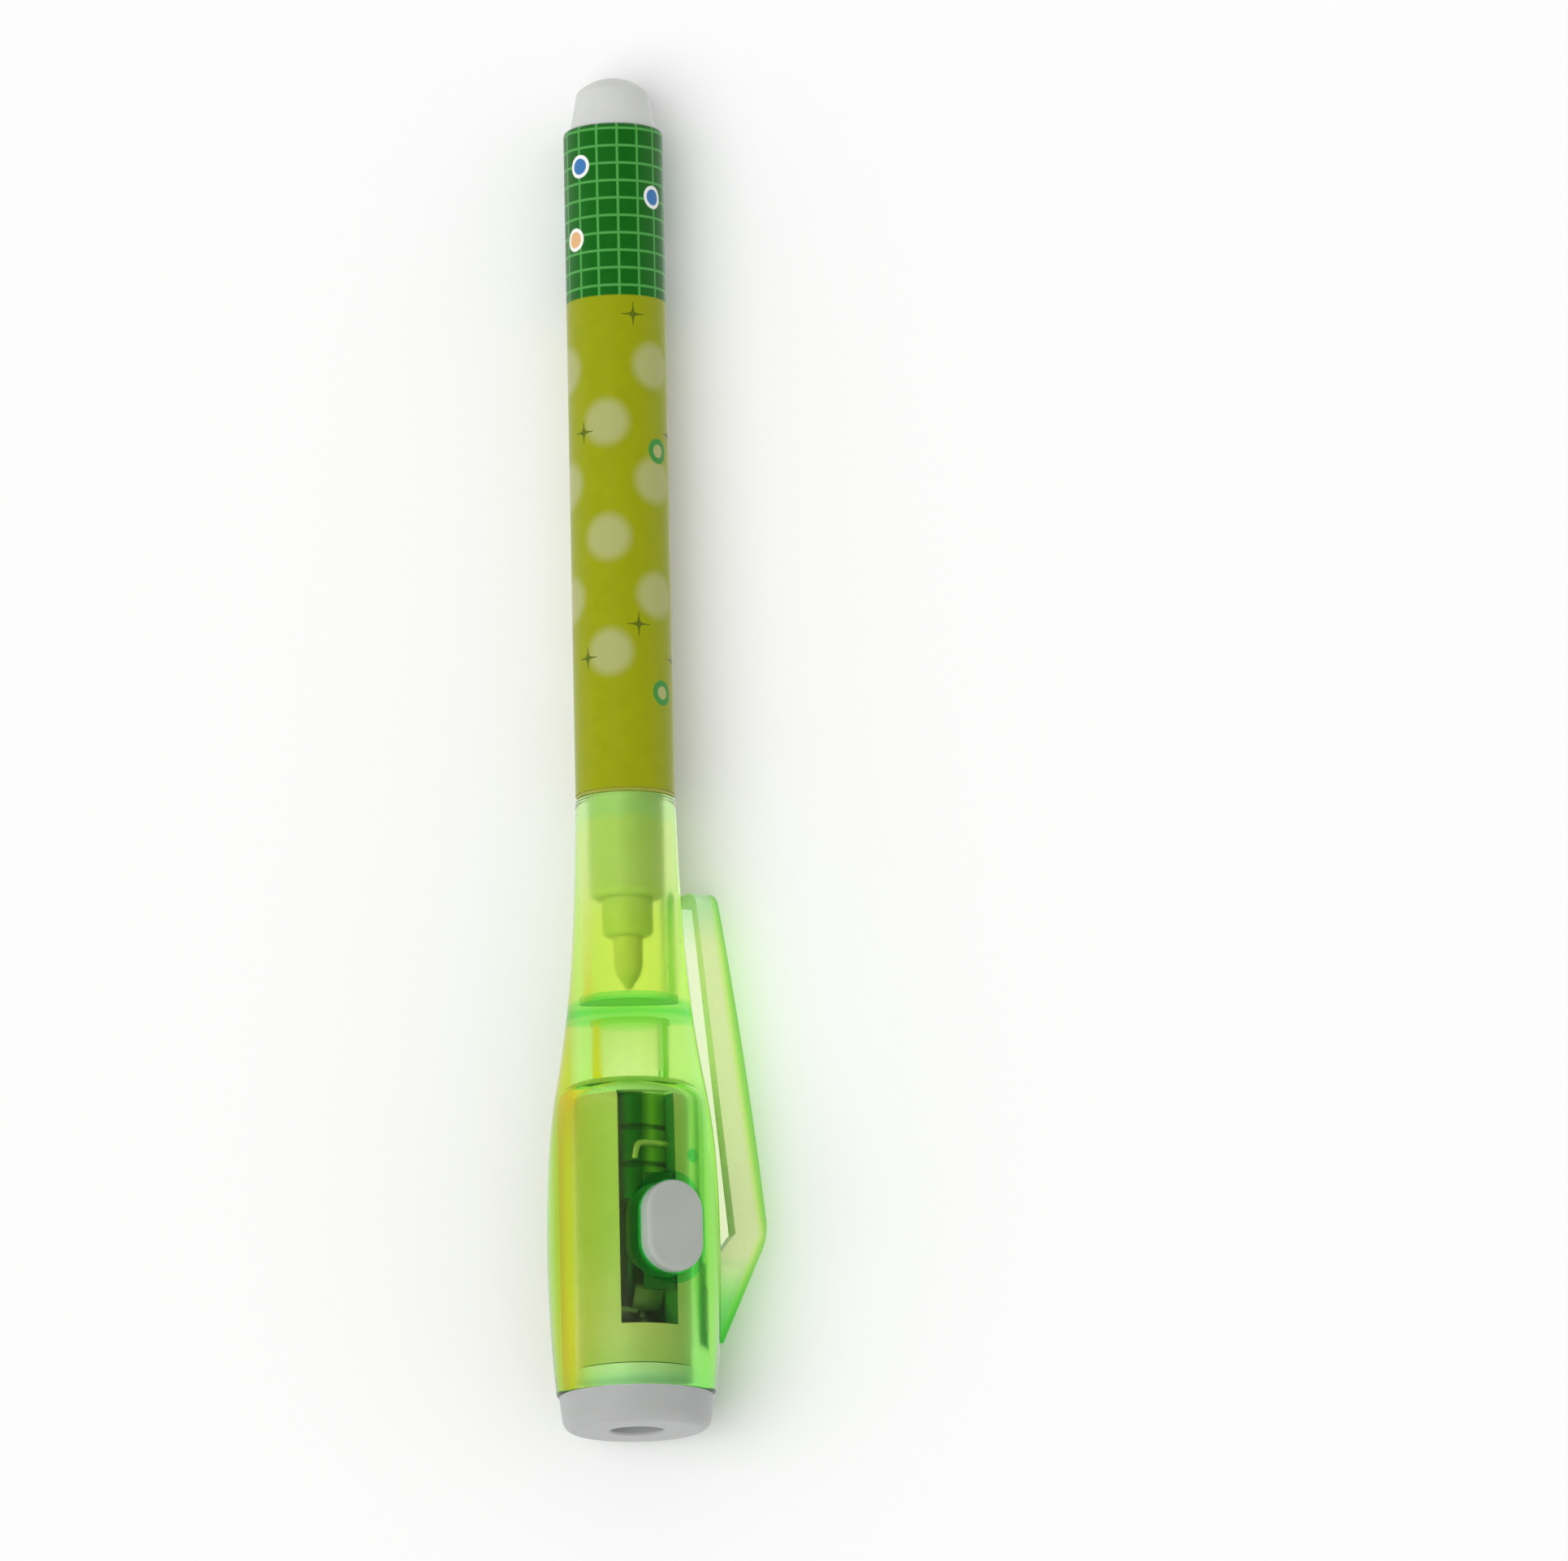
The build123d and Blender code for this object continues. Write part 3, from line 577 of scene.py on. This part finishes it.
def makeEpoxy():
    look = epoxyLook
    material, tree, spot = startMaterial("clear cast epoxy")
    cloud = addNode(tree, "TexNoise", {"Vector": spot, "Scale": 1 / look["patch"], "Detail": 2.0})
    finest, coarsest = look["polish"]
    polish = addNode(tree, "MapRange", {"Value": cloud, "To Min": finest, "To Max": coarsest})
    skin = addNode(tree, "BsdfPrincipled", {
        "Base Color": toLinear(look["colour"]), "Roughness": polish, "IOR": look["index"],
        "Transmission Weight": 1.0,
    })
    addNode(tree, "OutputMaterial", {"Surface": skin})
    return material


# Tints at mm along a way: the end cap is darker where it stands out of the cap, the button has painted green
# shade where it is sunk in its hole, and the cells have painted dark-green shade on one side and are bright
# on the other
endShade = {"way": (0, 1, 0), "stops": ((3.3, "c0c0c0"), (3.6, "ffffff"))}
buttonPaintedShade = {"way": pressWay, "stops": ((-7.2, "ffffff"), (-6.6, "2c8c38"))}
# painted shade: dark green on one side of the cells
cellPaintedShade = {"way": (1, 0, 0), "stops": ((0.9, "1c943c"), (1.8, "ffffff"))}
dress(makeStyrene(capLook), "cap_shell")
dress(makeStyrene(clipLook), "clip")
clipMesh = nodes["clip"].data
clipMesh.materials.append(makeStyrene(farLitLook))
clipSpots = [nodes["clip"].matrix_world @ vertex.co - lampEnd for vertex in clipMesh.vertices]
farSide = [inward.dot(spot) * 1000 > farLitLook["start"] for spot in clipSpots]
for face in clipMesh.polygons:
    face.material_index = int(all(farSide[at] for at in face.vertices))
dress(makeAbs("pale grey ABS", "d8dad6", "cbcec9"), "tail_plug")
dress(makeAbs("grey ABS", "f0f3f1", "e0e4e2", **endShade), "end_cap")
dress(makeAbs("green-grey ABS", "b4bab2", "a7aea5", **buttonPaintedShade), "push_button")
dress(makeFilm(), "print_film")
dress(makeMilky("lime-tinted polypropylene", "a9ad3c", "989c2c", rough=0.35, depth=0.8), "barrel")
dress(makeMilky("natural polypropylene", "cedcb0", "c0d09e", rough=0.4, depth=1.2), "nose_section")
dress(makeFibre("bonded nib fibre", "dfe2b4", "c8ce96", strand=0.2), "nib")
dress(makeFibre("ink rod fibre", "e2e2da", "cfcfc4", strand=0.25), "ink_reservoir")
dress(makeMilky("rod wrap film", "d9dde0", "cbd0d4", rough=0.2, depth=0.3), "reservoir_wrap")
dress(makeCarrier(), "light_carrier")
# the cells' green is painted: green light from the plastic round them, on plain nickel
greenLitCellSteel = makeSteel("nickel-plated cell steel with painted green light", "b4f468", "98d850", rough=0.5, scratch=0.15, **cellPaintedShade)
dress(greenLitCellSteel, "cell_1", "cell_2", "cell_3")
# plain steel darkened and tinted green: painted green shade from the plastic round it
greenShadedContactSteel = makeSteel("stamped contact steel", "a4bc90", "84a070", rough=0.3, scratch=0.12)
dress(greenShadedContactSteel, "contact_strip", "switch_blade")
dress(makeEpoxy(), "led_lens")
diodeWire = makeSteel("tinned diode wire", "d0d0ca", "b2b3ac", rough=0.3, scratch=0.1)
dress(diodeWire, "led_anode_leg", "led_cathode_leg")
print("materials on", sum(bool(node.data.materials) for node in nodes.values()), "nodes")

# The switch blade is copied as one piece with its points merged, in place of the frame's node
bladeLook = {"name": "bending_switch_blade", "rise": 1.2}   # mm from the crown to where it stays still
weld = 1e-7                      # points this near to each other, in metres, are one


def makeBlade():
    look = bladeLook
    node = nodes["switch_blade"]
    form = bmesh.new()
    form.from_mesh(node.data)
    form.transform(node.matrix_world)
    bmesh.ops.remove_doubles(form, verts=form.verts, dist=weld)
    mesh = bpy.data.meshes.new(look["name"])
    form.to_mesh(mesh)
    form.free()
    mesh.materials.append(node.data.materials[0])
    piece = bpy.data.objects.new(look["name"], mesh)
    scene.collection.objects.link(piece)
    crown = min((vertex.co for vertex in mesh.vertices), key=inward.dot).copy()
    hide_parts("switch_blade")
    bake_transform(piece)
    print(look["name"] + ":", len(mesh.vertices), "points")


makeBlade()

# Lead frame cast into the diode: a stamped anvil with a cup for the chip, a post, and the wire between them
leadFrame = {
    "half": 0.25,                # half the strip's thickness, mm
    "anvil": (                   # outlines: mm the way that the button goes in, mm from the lamp's face
        (-1.52, 10.6), (-1.52, 7.6), (-1.8, 6.7), (-1.35, 5.8), (-0.55, 5.5), (0.55, 5.5), (0.6, 5.95),
        (-0.15, 7.1), (-1.02, 8.1), (-1.02, 10.6),
    ),
    "post": ((1.02, 10.6), (1.02, 7.5), (0.85, 6.7), (0.85, 6.15), (1.55, 6.15), (1.52, 10.6)),
    "cup": (                     # its profile: radius, mm from the lamp's face
        (0.0, 5.6), (0.62, 5.6), (0.66, 5.1), (0.58, 5.08), (0.32, 5.42), (0.0, 5.42),
    ),
    "cupSides": 28,
    "chip": (0.17, 5.42, 5.27),  # half its side, and where it starts and ends
    "wire": ((0.05, 5.28), (0.16, 4.72), (0.75, 4.72), (1.12, 5.3), (1.15, 6.2)),
    "wireRadius": 0.035,
}
strandLook = {"roundness": 2, "order": 4, "steps": 6}


def toFrame(deep, side, along):
    spot = pressWay * deep + clipWay * side
    return lampEnd + (sideways * spot.x + alongPen * along + upPen * spot.z) / 1000


def addStrand(form, spots, radius):
    look = strandLook
    curve = bpy.data.curves.new("strand", "CURVE")
    curve.dimensions = "3D"
    curve.bevel_depth = radius / 1000
    curve.bevel_resolution = look["roundness"]
    curve.use_fill_caps = True
    line = curve.splines.new("NURBS")
    line.points.add(len(spots) - 1)
    for point, spot in zip(line.points, spots):
        point.co = (*spot, 1)
    line.order_u, line.use_endpoint_u, line.resolution_u = look["order"], True, look["steps"]
    strand = bpy.data.objects.new("strand", curve)
    mesh = bpy.data.meshes.new_from_object(strand)
    form.from_mesh(mesh)
    for spare, kind in ((strand, bpy.data.objects), (curve, bpy.data.curves), (mesh, bpy.data.meshes)):
        kind.remove(spare)


def addPiece(form, name, material):
    bmesh.ops.remove_doubles(form, verts=form.verts, dist=weld)
    bmesh.ops.recalc_face_normals(form, faces=form.faces)
    mesh = bpy.data.meshes.new(name)
    form.to_mesh(mesh)
    form.free()
    mesh.materials.append(material)
    piece = bpy.data.objects.new(name, mesh)
    scene.collection.objects.link(piece)
    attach(piece, "cap")
    print(name + ":", len(mesh.polygons), "faces")


def makeLeadFrame():
    look = leadFrame
    form = bmesh.new()
    for outline in (look["anvil"], look["post"]):
        near, far = [[form.verts.new(toFrame(deep, side, along)) for deep, along in outline]
                     for side in (-look["half"], look["half"])]
        form.faces.new(near)
        form.faces.new(far)
        for at in range(len(outline)):
            form.faces.new((near[at - 1], near[at], far[at], far[at - 1]))
    rings = []
    for radius, along in look["cup"]:
        turns = [2 * math.pi * at / look["cupSides"] for at in range(look["cupSides"] if radius else 1)]
        rings.append([form.verts.new(toFrame(radius * math.cos(turn), radius * math.sin(turn), along))
                      for turn in turns])
    for ring, after in zip(rings, rings[1:]):
        for at in range(look["cupSides"]):
            corners = [ring[(at - 1) % len(ring)], ring[at % len(ring)],
                       after[at % len(after)], after[(at - 1) % len(after)]]
            form.faces.new(list(dict.fromkeys(corners)))
    wide, low, high = look["chip"]
    corners = [form.verts.new(toFrame(a * wide, b * wide, along))
               for along in (low, high) for a, b in ((-1, -1), (1, -1), (1, 1), (-1, 1))]
    for face in ((0, 1, 2, 3), (4, 5, 6, 7), (0, 1, 5, 4), (1, 2, 6, 5), (2, 3, 7, 6), (3, 0, 4, 7)):
        form.faces.new([corners[at] for at in face])
    addStrand(form, [toFrame(deep, 0, along) for deep, along in look["wire"]], look["wireRadius"])
    silver = makeSteel("silver-plated lead frame", "d6d6d0", "bcbcb4", rough=0.25, scratch=0.08)
    addPiece(form, "led_lead_frame", silver)


makeLeadFrame()

# Contact wire over the cells: it crosses the carrier's window and turns down at the far side
contactWire = {
    "reach": 4.4,                # from the pen's axis to the wire's middle, mm
    "radius": 0.34,
    "path": (                    # degrees round from the button towards the clip, mm from the lamp's face
        (22, 27.4), (12, 27.45), (-4, 27.45), (-16, 27.45), (-21, 27.3), (-23, 26.6), (-24, 25.9),
    ),
}


def makeContactWire():
    look = contactWire
    form = bmesh.new()
    spots = []
    for turn, along in look["path"]:
        swing = math.radians(turn)
        spots.append(toFrame(-look["reach"] * math.cos(swing), look["reach"] * math.sin(swing), along))
    addStrand(form, spots, look["radius"])
    tinned = makeSteel("tinned contact wire", "f2fad8", "dce8b8", rough=0.5, scratch=0.12)
    addPiece(form, "contact_wire", tinned)


makeContactWire()

# Pale paper floor, which keeps the pen's shadow and is white to gloss and clear plastic
floorLook = {"size": 8.0, "drop": 0.0002, "colour": "fdfdfd"}
floorMesh = bpy.data.meshes.new("floor")
half = floorLook["size"] / 2
floorCorners = [(-half, -half, 0), (half, -half, 0), (half, half, 0), (-half, half, 0)]
floorMesh.from_pydata(floorCorners, [], [(0, 1, 2, 3)])
floor = bpy.data.objects.new("floor", floorMesh)
floor.location.z = -floorLook["drop"]
scene.collection.objects.link(floor)
paper = bpy.data.materials.new("pale paper floor")
paper.use_nodes = True
sheet = paper.node_tree
sheet.nodes.clear()
ray = addNode(sheet, "LightPath")
through = addNode(sheet, "Math", [
    ray.outputs["Is Transmission Ray"], ray.outputs["Is Glossy Ray"],
], operation="MAXIMUM")
matte = addNode(sheet, "BsdfDiffuse", {"Color": toLinear(floorLook["colour"])})
white = addNode(sheet, "Emission", {"Color": toLinear("ffffff"), "Strength": 1.0})
addNode(sheet, "OutputMaterial", {"Surface": addNode(sheet, "MixShader", [through, matte, white])})
floorMesh.materials.append(paper)
print("floor:", floorLook["size"], "m wide")

# Soft studio light from all round, and one broad lamp with no hard glint
lightLook = {
    "fill": 0.64,                # from all round, on matt surfaces
    "horizon": 1.0,              # what gloss and clear plastic see at the level of the table
    "overhead": 0.25,            # and what they see above them
    "rise": (0.1, 0.7),          # between which heights, as sines, the one turns into the other
    "key": 1.3,
    "keySpread": 50,             # degrees
    "keyFrom": (-0.5, -0.25, 1.0),
}
world = bpy.data.worlds.new("studio")
scene.world = world
world.use_nodes = True
air = world.node_tree
air.nodes.clear()
ray = addNode(air, "LightPath")
way = addNode(air, "SeparateXYZ", [addNode(air, "TexCoord").outputs["Generated"]])
lowest, highest = lightLook["rise"]
dome = addNode(air, "MapRange", {
    "Value": way.outputs["Z"], "From Min": lowest, "From Max": highest,
    "To Min": lightLook["horizon"], "To Max": lightLook["overhead"],
}, interpolation_type="SMOOTHSTEP")
shiny = addNode(air, "Math", [
    ray.outputs["Is Glossy Ray"], ray.outputs["Is Transmission Ray"],
], operation="MAXIMUM")
lit = addNode(air, "MapRange", {"Value": shiny, "To Min": lightLook["fill"], "To Max": dome})
strength = addNode(air, "MapRange", {"Value": ray.outputs["Is Camera Ray"], "To Min": lit, "To Max": 1.0})
sky = addNode(air, "Background", {"Color": toLinear("ffffff"), "Strength": strength})
addNode(air, "OutputWorld", {"Surface": sky})
keyLamp = bpy.data.lights.new("key", "SUN")
keyLamp.energy = lightLook["key"]
keyLamp.angle = math.radians(lightLook["keySpread"])
key = bpy.data.objects.new("key", keyLamp)
key.rotation_mode = "QUATERNION"
key.rotation_quaternion = Vector(lightLook["keyFrom"]).to_track_quat("Z", "Y")
key.visible_glossy = False
scene.collection.objects.link(key)
print("light: fill", lightLook["fill"], "and key", lightLook["key"])

# Camera over the pen, turned a little, so that the pen leans in the picture; distances in metres
cameraLook = {
    "elevation": 80.8,           # degrees, as is the lean
    "lean": 1.15,
    "distance": 2.5,
    "lens": 590,                 # mm, as is the sensor
    "sensor": 36,
    "farthest": 20,
    "aimAlong": 0.0642,          # from the lamp's end along the pen, and to the right of it
    "aimRight": 0.01547,
}
lift, lean = math.radians(cameraLook["elevation"]), math.radians(cameraLook["lean"])
back = Vector((0, -math.cos(lift), math.sin(lift)))
level = Vector((0, math.sin(lift), math.cos(lift)))
right = sideways * math.cos(lean) - level * math.sin(lean)
above = level * math.cos(lean) + sideways * math.sin(lean)
aim = lampEnd + alongPen * cameraLook["aimAlong"] + right * cameraLook["aimRight"]
cameraData = bpy.data.cameras.new("camera")
cameraData.lens = cameraLook["lens"]
cameraData.sensor_width = cameraLook["sensor"]
cameraData.clip_end = cameraLook["farthest"]
camera = bpy.data.objects.new("camera", cameraData)
axes = Matrix((right, above, back)).transposed().to_4x4()
camera.matrix_world = Matrix.Translation(aim + back * cameraLook["distance"]) @ axes
scene.collection.objects.link(camera)
scene.camera = camera
scene.view_settings.view_transform = "Standard"
print("camera at", [round(value, 4) for value in camera.location])
